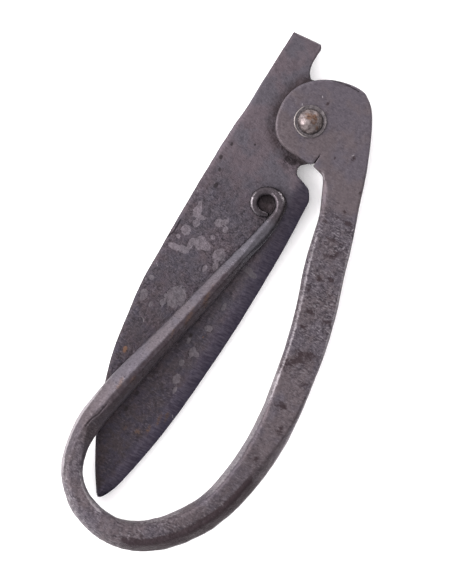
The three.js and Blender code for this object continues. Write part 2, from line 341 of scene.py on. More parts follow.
def make_object(name, points, faces, body, slot, replaces):
    """A closed mesh from millimetre points and faces, welded, facing out, riding on its body."""
    mesh = bpy.data.meshes.new(name)
    mesh.from_pydata([tuple(p * MM) for p in points], [], faces)
    bm = bmesh.new()
    bm.from_mesh(mesh)
    bmesh.ops.remove_doubles(bm, verts=bm.verts, dist=2e-7)
    bmesh.ops.recalc_face_normals(bm, faces=bm.faces)
    for face in bm.faces:
        face.smooth = True
    bm.to_mesh(mesh)
    bm.free()
    piece = bpy.data.objects.new(name, mesh)
    bpy.context.scene.collection.objects.link(piece)
    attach(piece, body)
    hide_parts(replaces)
    return piece


def add_points(points, more):
    """Adds points to a mesh's list, and gives their numbers."""
    first = len(points)
    points.extend(more)
    return list(range(first, len(points)))


def quads(first, second):
    """Faces between two equally long rows of point numbers."""
    return [(a, b, d, c) for a, b, c, d in zip(first[:-1], first[1:], second[:-1], second[1:])]


def closed(row):
    return list(row) + [row[0]]


# ---------------------------------------------------------------- handle

def curl_stations():
    """The curl as stations of the bar. Its outer side, in the bar's sense, is the one nearer its centre."""
    rows = []
    turns = np.radians(np.linspace(*CURL_TURN, len(CURL_RADII)))
    for turn, radius, width in zip(turns, CURL_RADII, CURL_WIDTHS):
        ray = np.array([math.cos(turn), math.sin(turn)])
        near = CURL_CENTRE + ray * (radius - width / 2)
        far = CURL_CENTRE + ray * (radius + width / 2)
        rows.append((*near, *far, max(width, CURL_LEAST_THICK), "wire"))
    return rows


def rounded(ring, share):
    """A section's outline with its corners rounded off. It keeps its width and its height."""
    soft = ring.copy()
    for _ in range(ROUNDING_PASSES):
        soft += ((np.roll(soft, 1, axis=0) + np.roll(soft, -1, axis=0)) / 2 - soft) * share
    low, high = ring.min(axis=0), ring.max(axis=0)
    soft_low, soft_high = soft.min(axis=0), soft.max(axis=0)
    return low + (soft - soft_low) * (high - low) / (soft_high - soft_low)


def steady(path, times):
    """The path with the slight corners at its stations evened out. Its ends stay put."""
    path = path.copy()
    for _ in range(times):
        path[1:-1] += ((path[2:] + path[:-2]) / 2 - path[1:-1]) * .5
    return path


def bar_path(numbers):
    """The bar's path through its stations, with closer rings in the curl, and each ring's place on it."""
    straight, where_straight = smooth_path(numbers[:len(BAR)], RING_SPACING * PATH_STRETCH)
    bent, where_bent = smooth_path(numbers[len(BAR) - 2:], CURL_SPACING * PATH_STRETCH)
    keep = where_straight < len(BAR) - 2
    path = steady(np.vstack([straight[keep], bent[1:]]), STEADY_PASSES)
    path = np.vstack([path[:keep.sum()], bent])
    return path, np.concatenate([where_straight[keep], where_bent + len(BAR) - 2])


def bar_rings():
    """The rings of points round the bar."""
    rows = BAR + curl_stations()
    path, where = bar_path([row[:5] for row in rows])
    shapes = np.array([SECTIONS[row[5]] for row in rows])
    roundings = [ROUNDING[row[5]] for row in rows]
    rings = []
    for (ox, oy, ix, iy, thick), place in zip(path, where):
        i = min(int(place), len(rows) - 2)
        corners = shapes[i] + (shapes[i + 1] - shapes[i]) * (place - i)
        ring = []
        for k, steps in enumerate(SECTION_STEPS):
            a, b = corners[k], corners[(k + 1) % len(corners)]
            ring += [a + (b - a) * s / steps for s in range(steps)]
        size = np.array([math.hypot(ox - ix, oy - iy) / 2, thick])
        ring = rounded(np.array(ring) * size, np.interp(place, range(len(rows)), roundings)) / size
        share = (ring[:, :1] + 1) / 2
        flat = np.array([[ox, oy]]) * (1 - share) + np.array([[ix, iy]]) * share
        rings.append(np.column_stack([flat, HANDLE_Z + ring[:, 1] * thick]))
    return rings


def corner_starts():
    """Where on a ring each corner of its section is."""
    return np.concatenate([[0], np.cumsum(SECTION_STEPS)])


def wall_column(top, bottom):
    """Points straight down a wall from a front point to a back point, both left out."""
    steps = CHAMFER_STEPS + SIDE_STEPS + BACK_CHAMFER_STEPS
    return [top + (bottom - top) * s / steps for s in range(1, steps)]


def eye_rays(ring, normal):
    """The eye as rays from its bore.

    Each ray is its outer front point, its wall, which is empty where the neck joins on, and its back point.
    """
    start = corner_starts()
    front = ring[start[2]:start[3] + 1]
    back = ring[start[6]:start[7] + 1][::-1]
    inner_wall = ring[start[3] + 1:start[6]]
    outer_wall = np.vstack([ring[:start[2]][::-1], ring[start[7] + 1:][::-1]])
    rays = [(front[-1], inner_wall + normal * SLIT_WIDTH / 2, back[-1], SLIT_WIDTH / 2)]

    outline, _ = smooth_path(EYE_OUTLINE, EYE_SPACING)
    along = np.gradient(outline, axis=0)
    along /= np.linalg.norm(along, axis=1)[:, None]
    inward = np.column_stack([along[:, 1], -along[:, 0]])
    half = np.linalg.norm(ring[start[1]][:2] - ring[start[4]][:2]) / 2
    across = (1 + SECTIONS["eye"][2][0]) * half
    wall_up = ring[start[3] + 1:start[6], 2] - HANDLE_Z
    top, bottom = HANDLE_Z + EYE_THICK, HANDLE_Z
    chamfer_share = np.concatenate([
        1 - np.arange(1, CHAMFER_STEPS + 1) / CHAMFER_STEPS, np.zeros(SIDE_STEPS - 1),
        np.arange(BACK_CHAMFER_STEPS) / BACK_CHAMFER_STEPS,
    ])
    for point, side in zip(outline[1:-1], inward[1:-1]):
        seat = point + side * across
        wall = np.column_stack([point + side * across * chamfer_share[:, None], HANDLE_Z + wall_up])
        rays.append((np.array([*seat, top]), wall, np.array([*seat, bottom]), 0))
    rays.append((front[0], outer_wall, back[0], 0))

    for j in range(1, FLAT_STEPS):
        if j < FLAT_STEPS - SLIT_STEPS:
            rays.append((front[j], [], back[j], 0))
        else:
            rise = SLIT_WIDTH / 2 * (j - FLAT_STEPS + SLIT_STEPS) / SLIT_STEPS
            wall = np.array(wall_column(front[j], back[j])) + normal * rise
            rays.append((front[j], wall, back[j], rise))
    return [(f + normal * rise, w, b + normal * rise) for f, w, b, rise in rays]


def eye_mesh(ring, normal, points, faces):
    """Adds the eye, from bore to outline. Each column is a ray's front, wall, back and bore lining."""
    columns = []
    for front, wall, back in eye_rays(ring, normal):
        ray = front[:2] - PIVOT
        mouth = PIVOT + ray / np.linalg.norm(ray) * BORE_RADIUS
        steps = (np.arange(EYE_RADIAL_STEPS + 1) / EYE_RADIAL_STEPS)[:, None]
        top = np.array([*mouth, front[2]]) * (1 - steps) + front * steps
        low = np.array([*mouth, back[2]]) * (1 - steps) + back * steps
        bore = (np.arange(1, BORE_STEPS) / BORE_STEPS)[:, None]
        lining = low[:1] * (1 - bore) + top[:1] * bore
        columns.append([add_points(points, part) for part in (top, wall, low[::-1], lining)])
    for pair in zip(columns, columns[1:] + columns[:1]):
        for part in (0, 2):
            faces += quads(*(column[part] for column in pair))
        faces += quads(*([low[-1], *lining, top[0]] for top, wall, low, lining in pair))
        if all(wall for top, wall, low, lining in pair):
            faces += quads(*([top[-1], *wall, low[0]] for top, wall, low, lining in pair))


def slit_wall(row, points, faces):
    """The neck's side of the slit, from the slit's end to the bar's inner edge."""
    start = corner_starts()
    columns = []
    for j in range(FLAT_STEPS - SLIT_STEPS, FLAT_STEPS):
        top, bottom = row[start[2] + j], row[start[7] - j]
        columns.append([top, *add_points(points, wall_column(points[top], points[bottom])), bottom])
    columns.append(row[start[3]:start[6] + 1])
    for a, b in zip(columns[:-1], columns[1:]):
        faces += quads(a, b)


def make_handle_mesh():
    rings = bar_rings()
    ring = rings[0].copy()
    start = corner_starts()
    along = ring[start[4]][:2] - ring[start[1]][:2]
    along /= np.linalg.norm(along)
    normal = np.array([-along[1], along[0], 0])
    if normal[1] < 0:
        normal = -normal
    points, faces = [], []
    eye_mesh(ring, normal, points, faces)
    for j in range(FLAT_STEPS - SLIT_STEPS, FLAT_STEPS + 1):
        drop = normal * SLIT_WIDTH / 2 * (j - FLAT_STEPS + SLIT_STEPS) / SLIT_STEPS
        rings[0][start[2] + j] -= drop
        rings[0][start[7] - j] -= drop
    rings[0][start[3] + 1:start[6]] -= normal * SLIT_WIDTH / 2
    rows = [add_points(points, rings[0])]
    slit_wall(rows[0], points, faces)
    rows += [add_points(points, following) for following in rings[1:]]
    tip = rings[-1].mean(axis=0)
    ahead = rings[-1].mean(axis=0) - rings[-2].mean(axis=0)
    ahead /= np.linalg.norm(ahead)
    for scale, forward in TIP_RINGS:
        rows.append(add_points(points, tip + (rings[-1] - tip) * scale + ahead * forward))
    for a, b in zip(rows[:-1], rows[1:]):
        faces += quads(closed(a), closed(b))
    points.append(tip + ahead * TIP_REACH)
    faces += [(a, b, len(points) - 1) for a, b in zip(rows[-1], closed(rows[-1])[1:])]
    return points, faces


# ---------------------------------------------------------------- blade

def blade_stations():
    """The stations from the tip to the tab, with the tang's round lower side worked out."""
    rows = list(BLADE)
    spine, _ = smooth_path([BLADE[-1][2:]] + TANG_SPINE, TANG_SPINE_SPACING)
    turns = np.radians(np.linspace(*TANG_TURN, TANG_STATIONS))
    for i, turn in enumerate(turns[1:], 1):
        low = PIVOT + TANG_RADIUS * np.array([math.cos(turn), math.sin(turn)])
        rows.append((*low, *spine[round(i / (TANG_STATIONS - 1) * (len(spine) - 1))]))
    return rows + TAB


def blade_rows():
    """Where the rows of points lie across the blade, from its lower outline, 0, to its spine, 1."""
    low = [0, .008, .02]
    high = [.976, .99, 1]
    return np.array(low + list(np.linspace(.035, .96, BLADE_ROWS - 6)) + high)


def blade_half_thickness(x, y, low_gap, high_gap, ground):
    """Half the blade's thickness at a point. The gaps are its distances to the two outlines."""
    edge = np.array(EDGE_LINE)
    above = y - np.interp(x, edge[:, 0], edge[:, 1])
    spine_gap = high_gap + low_gap
    bevel = np.minimum(BEVEL_WIDTH, .5 * np.maximum(spine_gap, .3))
    full = np.interp(x, [edge[0, 0], HEEL_X], [TIP_THICK, TANG_THICK]) / 2
    half = EDGE_THICK / 2 + (full - EDGE_THICK / 2) * np.clip(above / bevel, 0, 1)
    spine_cut = np.interp(x, SPINE_ROUND_CHANGE, SPINE_ROUND_DEPTH)
    half -= spine_cut * np.clip(1 - high_gap / SPINE_ROUND, 0, 1)
    half -= TANG_ROUND_DEPTH * np.clip(1 - low_gap / TANG_ROUND, 0, 1) * (1 - ground)
    return np.maximum(half, EDGE_THICK / 2)


def make_blade_mesh():
    path, where = smooth_path(blade_stations(), BLADE_SPACING * PATH_STRETCH)
    shares = blade_rows()
    middle = BLADE_Z + TANG_THICK / 2
    points, faces, rows = [], [], []
    for (lx, ly, hx, hy), place in zip(path, where):
        width = math.hypot(hx - lx, hy - ly)
        x = lx + (hx - lx) * shares
        y = ly + (hy - ly) * shares
        ground = float(np.clip(GROUND_END - place, 0, 1))
        half = blade_half_thickness(x, y, shares * width, (1 - shares) * width, ground)
        front = np.column_stack([x, y, middle + half])
        back = np.column_stack([x, y, middle - half])
        low_side = [front[0] * (1 - s) + back[0] * s for s in (2 / 3, 1 / 3)]
        high_side = [front[-1] * (1 - s) + back[-1] * s for s in (1 / 3, 2 / 3)]
        rows.append(add_points(points, list(front) + high_side + list(back[::-1]) + low_side))
    n = len(shares)
    for a, b in zip(rows[:-1], rows[1:]):
        faces += quads(closed(a), closed(b))
    for row in (rows[0], rows[-1]):
        front, back = row[:n], row[n + 2:2 * n + 2][::-1]
        side_low, side_high = row[2 * n + 2:][::-1], row[n:n + 2]
        thirds = []
        for k, s in enumerate((1 / 3, 2 / 3)):
            inner = [points[a] * (1 - s) + points[b] * s for a, b in zip(front[1:-1], back[1:-1])]
            thirds.append([side_low[k], *add_points(points, inner), side_high[k]])
        for a, b in zip([front] + thirds, thirds + [back]):
            faces += quads(a, b)
    return points, faces


def apply_modifiers(piece):
    graph = bpy.context.evaluated_depsgraph_get()
    mesh = bpy.data.meshes.new_from_object(piece.evaluated_get(graph))
    old = piece.data
    piece.modifiers.clear()
    piece.data = mesh
    bpy.data.meshes.remove(old)


def bore(piece):
    """Cuts the rivet's hole through a piece."""
    bpy.ops.mesh.primitive_cylinder_add(
        vertices=BORE_SIDES, radius=BORE_RADIUS * MM, depth=20 * MM, location=(*(PIVOT * MM), 0)
    )
    cutter = bpy.context.object
    cut = piece.modifiers.new("bore", "BOOLEAN")
    cut.operation = "DIFFERENCE"
    cut.solver = "EXACT"
    cut.object = cutter
    apply_modifiers(piece)
    bpy.data.objects.remove(cutter)


# ---------------------------------------------------------------- the turned pieces

# The gap under each head, the radius of the peened end's flat spot, how far out each head's seat is drawn,
# and the radius at which a head closes to its middle point
SEAT_GAP = .05
FLAT_SPOT_RADIUS = 1.5
SEAT_RADIUS = 3.1
MIDDLE_RADIUS = .02
DOME_STEPS = 22
RIVET_SIDES = 96
WASHER_SIDES = 144
# A washer's section: radius, and height as a share of its thickness
WASHER_SECTION = [
    (BORE_RADIUS, 0), (BORE_RADIUS, .75), (BORE_RADIUS + .1, .8), (2.6, .8), (3.0, .78), (3.2, .76),
    (3.4, .74), (3.6, .78), (3.75, .86), (3.9, .96), (4.0, 1.0), (4.1, .92), (4.17, .7),
    (WASHER_RADIUS, .45), (4.17, .15), (4.1, 0), (3.7, 0), (3.3, 0), (2.8, 0), (2.4, 0),
]


def disc_mesh(profile, sides, hole):
    """A turned piece about the pivot. The profile runs from its inner radius over the front to the back."""
    points, faces, rows = [], [], []
    for i in range(sides):
        turn = 2 * math.pi * i / sides
        ray = np.array([math.cos(turn), math.sin(turn)])
        rows.append(add_points(points, [np.array([*(PIVOT + ray * r), z]) for r, z in profile]))
    for a, b in zip(rows, rows[1:] + rows[:1]):
        faces += quads(closed(a), closed(b)) if hole else quads(a, b)
    return points, faces


def make_rivet_mesh():
    """A domed head in front, the shank, and a peened end with a flat spot at the back."""
    front_seat = FRONT_WASHER_TOP + SEAT_GAP
    back_seat = BACK_WASHER_Z - SEAT_GAP
    bulge = HEAD_RADIUS - FLAT_SPOT_RADIUS
    arc = [(math.cos(a), math.sin(a)) for a in np.radians(np.linspace(0, 90, DOME_STEPS))]
    front = [(HEAD_RADIUS * out, front_seat + (RIVET_TOP - front_seat) * up) for out, up in arc]
    back = [(FLAT_SPOT_RADIUS + bulge * out, back_seat - (back_seat - RIVET_Z) * up) for out, up in arc]
    front[-1] = (MIDDLE_RADIUS, RIVET_TOP)
    spot = [(r, RIVET_Z) for r in np.linspace(1.2, MIDDLE_RADIUS, 5)]
    seat_back = [(r, back_seat) for r in np.linspace(SHANK_RADIUS, SEAT_RADIUS, 4)]
    seat_front = [(r, front_seat) for r in np.linspace(SEAT_RADIUS, SHANK_RADIUS, 4)]
    shank = [(SHANK_RADIUS, z) for z in np.linspace(front_seat, back_seat, 12)[1:-1]]
    profile = front[::-1] + seat_front + shank + seat_back + back + spot
    points, faces = disc_mesh(profile, RIVET_SIDES, False)
    n = len(profile)
    for end, z in ((0, RIVET_TOP), (n - 1, RIVET_Z)):
        points.append(np.array([*PIVOT, z]))
        rim = [i * n + end for i in range(RIVET_SIDES)]
        faces += [(a, b, len(points) - 1) for a, b in zip(rim, rim[1:] + rim[:1])]
    return points, faces


def make_washer_mesh(low, high, front):
    """A thin hand-cut ring. Its face away from the plate is dished, so its rim stands up as a lip."""
    seat, top = (low, high) if front else (high, low)
    return disc_mesh([(r, seat + (top - seat) * up) for r, up in WASHER_SECTION], WASHER_SIDES, True)


# ---------------------------------------------------------------- surfaces worked into the meshes

# How far inside the whole's box a swelled piece stays
BOX_MARGIN = .01


def press(piece, layers, strength=None):
    """Hammers a piece, inwards only. Each layer is its bumps' width, their depth and a seed."""
    mesh = piece.data
    points = get_points(mesh)
    depth = np.zeros(len(points))
    for size, most, seed in layers:
        depth += most * np.clip(.5 + .9 * sample_noise(points, size, seed), 0, 1)
    if strength is not None:
        depth *= strength(points)
    set_points(mesh, points - get_normals(mesh) * depth[:, None])


def spread(piece, distance):
    """Swells a piece sideways, by a distance for each point, and keeps it inside the whole's box."""
    mesh = piece.data
    points = get_points(mesh)
    points[:, :2] += get_normals(mesh)[:, :2] * distance[:, None]
    low, high = np.array(cad_low) / MM, np.array(cad_high) / MM
    points[:, :2] = np.clip(points[:, :2], low[:2] + BOX_MARGIN, high[:2] - BOX_MARGIN)
    set_points(mesh, points)


def step(values, low, high):
    """0 below low, 1 above high, and a smooth rise between them."""
    share = np.clip((values - low) / (high - low), 0, 1)
    return share * share * (3 - 2 * share)


def spots(points, places, seed=1, ragged=.3):
    """How deep each point lies in the nearest of some spots: 1 in its middle, 0 on its rim, -1 far off."""
    wobble = sample_noise(points, 1.5, seed, 2) * ragged
    best = np.full(len(points), -1.0)
    for x, y, wide, high in places:
        away = np.hypot((points[:, 0] - x) / wide, (points[:, 1] - y) / high)
        best = np.maximum(best, 1 - away + wobble)
    return best


def path_distance(points, line):
    """How far each point is, seen from the front, from a line of points."""
    best = np.full(len(points), 1e9)
    for a, b in zip(line[:-1], line[1:]):
        a, b = np.array(a, float), np.array(b, float)
        span = b - a
        share = np.clip((points[:, :2] - a) @ span / max(span @ span, 1e-9), 0, 1)
        best = np.minimum(best, np.hypot(*(points[:, :2] - a - share[:, None] * span).T))
    return best


def band(points, line, reach, fade=0.0, core=.5):
    """1 along a line, down to 0 at its reach. It fades out towards the line's two ends."""
    share = 1 - step(path_distance(points, line), reach * core, reach)
    if fade:
        for x, y in (line[0], line[-1]):
            share = share * step(np.hypot(points[:, 0] - x, points[:, 1] - y), 0, fade)
    return share


def facing(mesh, low, high):
    """1 where a mesh faces the front, down to 0 where it stands on edge or faces the back."""
    return step(get_normals(mesh)[:, 2], low, high)


def scattered(count, low, high, sizes, seed):
    """Spots scattered over a rectangle, for the sides that the front's marks don't reach."""
    rng = np.random.default_rng(seed)
    places = []
    for _ in range(count):
        wide, high_share = rng.uniform(*sizes), rng.uniform(.6, 1.3)
        places.append((rng.uniform(low[0], high[0]), rng.uniform(low[1], high[1]), wide, wide * high_share))
    return places


# ---------------------------------------------------------------- materials

class Look:
    """A material's nodes, with a short call for each kind that is used. Sizes are in millimetres."""

    def __init__(self, name):
        self.material = bpy.data.materials.new(name)
        self.material.use_nodes = True
        self.tree = self.material.node_tree
        self.shader = self.tree.nodes["Principled BSDF"]
        self.place = self.tree.nodes.new("ShaderNodeTexCoord").outputs["Object"]

    def put(self, socket, value):
        if isinstance(value, bpy.types.NodeSocket):
            self.tree.links.new(value, socket)
        elif isinstance(value, tuple) and len(value) == 3 and len(socket.default_value) == 4:
            socket.default_value = (*value, 1)
        else:
            socket.default_value = value

    def math(self, operation, a, b=0.0):
        node = self.tree.nodes.new("ShaderNodeMath")
        node.operation = operation
        self.put(node.inputs[0], a)
        self.put(node.inputs[1], b)
        return node.outputs[0]

    def add(self, a, b):
        return self.math("ADD", a, b)

    def times(self, a, b):
        return self.math("MULTIPLY", a, b)

    def stray(self, value, grain, reach, middle=.5):
        """A value pushed up and down by a noise, for a mark with an uneven rim."""
        return self.add(value, self.times(self.add(grain, -middle), reach))

    def ramp(self, value, low, high, to_low=0.0, to_high=1.0):
        node = self.tree.nodes.new("ShaderNodeMapRange")
        node.interpolation_type = "SMOOTHSTEP"
        for socket, number in zip(node.inputs, (value, low, high, to_low, to_high)):
            self.put(socket, number)
        return node.outputs[0]

    def mix(self, share, a, b):
        node = self.tree.nodes.new("ShaderNodeMix")
        node.data_type = "RGBA"
        self.put(node.inputs["Factor"], share)
        self.put(node.inputs[6], a)
        self.put(node.inputs[7], b)
        return node.outputs[2]

    def noise(self, size, detail=2.0, rough=.5, stretch=(1, 1, 1), seed=0, turn=0.0):
        place = self.tree.nodes.new("ShaderNodeMapping")
        place.inputs["Scale"].default_value = stretch
        place.inputs["Location"].default_value = (seed * .013, seed * .007, seed * .003)
        place.inputs["Rotation"].default_value = (0, 0, math.radians(turn))
        self.put(place.inputs["Vector"], self.place)
        node = self.tree.nodes.new("ShaderNodeTexNoise")
        node.inputs["Scale"].default_value = 1 / (size * MM)
        node.inputs["Detail"].default_value = detail
        node.inputs["Roughness"].default_value = rough
        self.put(node.inputs["Vector"], place.outputs[0])
        return node.outputs["Fac"]

    def vector(self, operation, a, b=(0, 0, 0)):
        node = self.tree.nodes.new("ShaderNodeVectorMath")
        node.operation = operation
        self.put(node.inputs[0], a)
        self.put(node.inputs[1], b)
        return node

    def segment(self, a, b):
        """How far the surface is, seen from the front, from a straight line between two points."""
        a, b = Vector((*a, 0)) * MM, Vector((*b, 0)) * MM
        span = b - a
        flat = self.vector("MULTIPLY", self.place, (1, 1, 0)).outputs[0]
        reach = self.vector("SUBTRACT", flat, tuple(a)).outputs[0]
        along = self.vector("DOT_PRODUCT", reach, tuple(span)).outputs["Value"]
        share = self.math("MINIMUM", self.math("MAXIMUM", self.times(along, 1 / span.length_squared), 0), 1)
        foot = self.vector("SCALE", tuple(span))
        self.put(foot.inputs["Scale"], share)
        gap = self.vector("SUBTRACT", reach, foot.outputs[0]).outputs[0]
        return self.times(self.vector("LENGTH", gap).outputs["Value"], 1 / MM)

    def scratch(self, points, width, grain, reach=.3):
        """1 on a ragged line through some points, and 0 off it."""
        gap = self.segment(*points[:2])
        for pair in zip(points[1:-1], points[2:]):
            gap = self.math("MINIMUM", gap, self.segment(*pair))
        return self.ramp(self.stray(gap, grain, reach), width, width * .4)

    def attribute(self, name):
        node = self.tree.nodes.new("ShaderNodeAttribute")
        node.attribute_name = name
        return node.outputs["Fac"]

    def ragged(self, name, grain, reach, soft=.12):
        """A stored spot field cut off sharply along a fine ragged rim."""
        return self.ramp(self.stray(self.attribute(name), grain, reach), 0.0, soft)

    def height(self, value, depth):
        node = self.tree.nodes.new("ShaderNodeBump")
        node.inputs["Distance"].default_value = depth * MM
        node.inputs["Strength"].default_value = 1
        self.put(node.inputs["Height"], value)
        self.put(self.shader.inputs["Normal"], node.outputs[0])

    def finish(self, colour, roughness, metal):
        self.put(self.shader.inputs["Base Color"], colour)
        self.put(self.shader.inputs["Roughness"], roughness)
        self.put(self.shader.inputs["Metallic"], metal)
        self.shader.inputs["Specular IOR Level"].default_value = GLAZE
        return self.material


# How much the clear part of a surface reflects: forge scale is duller than paint or plastic
GLAZE = .12
SCALE_BROWN = (.02, .0125, .0145)
BARE_STEEL = (.27, .25, .262)
# Fine lines: a lap along the eye's edge, a fold at the end of the bow, a crack on the blade, and scratches
EYE_LAP = [(57.6, 9.3), (59.6, 6.9), (60.6, 4.4), (61.0, 1.6), (61.15, -1.2), (60.9, -3.4)]
BOW_FOLD = [(-43.4, 22.1), (-41.2, 21.5), (-39.5, 20.5), (-36.4, 19.7)]
CRACK = [(7.2, 24.2), (8.4, 23.95), (9.4, 23.35), (11.2, 23.1), (13, 23.0)]
BLADE_NICKS = [
    ((.1, 23.3), (.6, 23.8)), ((-32.6, 3.5), (-32.1, 3.8)), ((21.2, 22.1), (21.5, 22.5)),
    ((-14, 20.4), (-13.2, 21)),
]
EYE_NICKS = [
    ((51.8, 7.9), (52.1, 8)), ((55.7, 4.1), (56, 4.3)), ((45.7, -8.8), (46.1, -9.1)),
    ((28.9, -16.8), (29.4, -17)),
]


def strokes(look, size):
    """Short strokes that run two ways, as hammered and wire-brushed scale has."""
    one = look.noise(size, 2, .6, stretch=(1, .4, 1), seed=11, turn=50)
    other = look.noise(size, 2, .6, stretch=(1, .4, 1), seed=12, turn=-35)
    return look.math("MAXIMUM", one, other)


def mottled(look, fine, grain, light, dark, pale, coarse):
    """A skin of one tone with darker clouds and paler glints, both stronger where the metal is coarse."""
    clouds = look.times(look.ramp(grain, .42, .64), look.add(.2, look.times(coarse, .6)))
    glints = look.times(look.ramp(fine, .55, .7), look.add(.14, look.times(coarse, .55)))
    pores = look.times(look.ramp(fine, .5, .38), look.add(.22, look.times(coarse, .65)))
    colour = look.mix(clouds, light, dark)
    colour = look.mix(pores, colour, dark)
    return look.mix(glints, colour, pale)


def any_scratch(look, lines, width, grain):
    """1 on any of some short scratches, and 0 off them."""
    share = look.scratch(lines[0], width, grain)
    for line in lines[1:]:
        share = look.math("MAXIMUM", share, look.scratch(line, width, grain))
    return share


def forged_colour(look, fine, grain, lines, wear_and_highlight):
    """The handle's colour: scale in two tones, then mottled, stained, rusted, lined, and worn bright with
    painted highlights along lit edges and bands.
    """
    coarse = look.attribute("coarse")
    cloud = look.noise(7, 3, .55, seed=3)
    streak = look.noise(1, 4, .75, stretch=(1, .45, 1), seed=4, turn=-20)
    tone = look.mix(look.ramp(cloud, .4, .6), (.0693, .0598, .0714), (.0776, .063, .0683))
    tone = look.mix(look.attribute("polish"), tone, (.07, .066, .076))
    tone = look.mix(look.attribute("shade"), tone, (.036, .0285, .031))
    coarse = look.times(coarse, look.ramp(look.noise(5, 2, seed=6), .35, .65, .6, 1.35))
    colour = mottled(look, fine, grain, tone, (.0224, .0181, .0224), (.14, .126, .138), coarse)
    # Stains, and the bow's stripe, which is brown colour and painted shade
    rim = look.stray(look.attribute("stain"), streak, 4.6)
    colour = look.mix(look.ramp(rim, -.2, .95, 0, .85), colour, SCALE_BROWN)
    brown = look.times(look.attribute("brown"), look.ramp(grain, .3, .62, .35, 1))
    colour = look.mix(brown, colour, (.041, .031, .036))
    rust = look.ramp(look.stray(look.attribute("rust"), fine, 2.6), .1, 1)
    colour = look.mix(look.times(rust, .4), colour, (.09, .052, .032))
    colour = look.mix(look.times(lines, .8), colour, (.012, .009, .011))
    # Bare steel where worn, and painted highlights on lit edges and bands
    return look.mix(wear_and_highlight, colour, BARE_STEEL)


def make_forged_look():
    """Purple-grey forge scale: smooth on the eye, grainy and stained on the arm and the bow."""
    look = Look("forge_scale")
    polish = look.attribute("polish")
    fine = strokes(look, .42)
    grain = look.noise(1.1, 4, .72, seed=2)
    seen = look.attribute("front")
    fold = look.times(look.scratch(BOW_FOLD, .3, fine), .6)
    lines = look.add(fold, look.scratch(EYE_LAP, .2, fine, .15))
    lines = look.times(lines, seen)
    # Wear and painted highlights, then the nicks
    wear_and_highlight = look.ramp(look.stray(look.attribute("worn_and_highlit"), fine, .5, .55), .05, .4)
    nicks = look.times(any_scratch(look, EYE_NICKS, .18, fine), seen)
    wear_and_highlight = look.math("MAXIMUM", look.times(wear_and_highlight, .75), look.times(nicks, .55))
    colour = forged_colour(look, fine, grain, lines, wear_and_highlight)
    rough = look.add(look.ramp(fine, .35, .7, .33, .45), look.times(polish, -.2))
    bumps = look.add(look.times(grain, -1.3), look.times(fine, -1))
    bumps = look.times(bumps, look.add(.35, look.attribute("coarse")))
    look.height(look.add(bumps, look.times(lines, -.8)), .19)
    metal = look.add(look.add(.5, look.times(polish, .4)), look.times(wear_and_highlight, .3))
    return look.finish(colour, rough, look.math("MINIMUM", metal, 1))


def blade_colour(look, fine, grain, ground, flake):
    """The blade's colour, and the fine lines that the grinding left."""
    cloud = look.noise(6, 3, .55, seed=3)
    tone = look.mix(look.ramp(cloud, .4, .6), (.0763, .0611, .0699), (.0644, .0578, .0686))
    patch = look.ramp(look.noise(2.4, 3, .6, seed=7), .38, .62)
    hue = look.mix(patch, (.0242, .0171, .0186), (.0195, .0163, .0254))
    tone = look.mix(look.attribute("shade"), tone, hue)
    coarse = look.times(look.attribute("coarse"), look.ramp(look.noise(4, 2, seed=6), .35, .65, .5, 1.4))
    glint = look.mix(look.attribute("shade"), (.115, .1, .113), (.055, .046, .054))
    colour = mottled(look, fine, grain, tone, (.015, .0125, .0155), glint, coarse)
    # Painted shade around the eye and inside the curl, with some grime by the eye
    grime_and_shade = look.times(look.attribute("grime_and_shade"), look.ramp(grain, .3, .62, .45, 1))
    colour = look.mix(look.times(grime_and_shade, .8), colour, (.022, .0155, .0165))
    lines = look.noise(.4, 2, stretch=(1, .05, 1), seed=9, turn=8)
    bevel = look.mix(look.ramp(lines, .3, .7), (.0246, .0202, .0325), (.0526, .0459, .0627))
    bevel = look.mix(look.ramp(look.attribute("ground"), .45, 1, 0, .6), bevel, (.013, .0115, .024))
    colour = look.mix(look.times(ground, .78), colour, bevel)
    # Flakes are paler in the middle of the blade, and darker under the return bar as painted shade
    pale = look.mix(look.attribute("flake_lightness_and_shade"), (.072, .065, .071), (.142, .122, .138))
    pale = look.mix(look.ramp(cloud, .42, .58, 0, .3), pale, (.082, .08, .086))
    pale = look.mix(look.ramp(grain, .35, .65, 0, .3), pale, (.125, .107, .118))
    colour = look.mix(look.times(flake, look.ramp(grain, .35, .62, .82, .42)), colour, pale)
    # Dark pits, some of them painted shade by the eye and inside the curl
    pits_and_shade = look.ragged("pits_and_shade", fine, 1.2, .5)
    colour = look.mix(look.times(pits_and_shade, .8), colour, (.013, .01, .011))
    brown = look.ramp(look.stray(look.attribute("brown"), grain, 2.4), 0, 1)
    specks = look.times(brown, look.ramp(fine, .45, .62, .3, .85))
    return look.mix(specks, colour, (.062, .038, .026)), lines


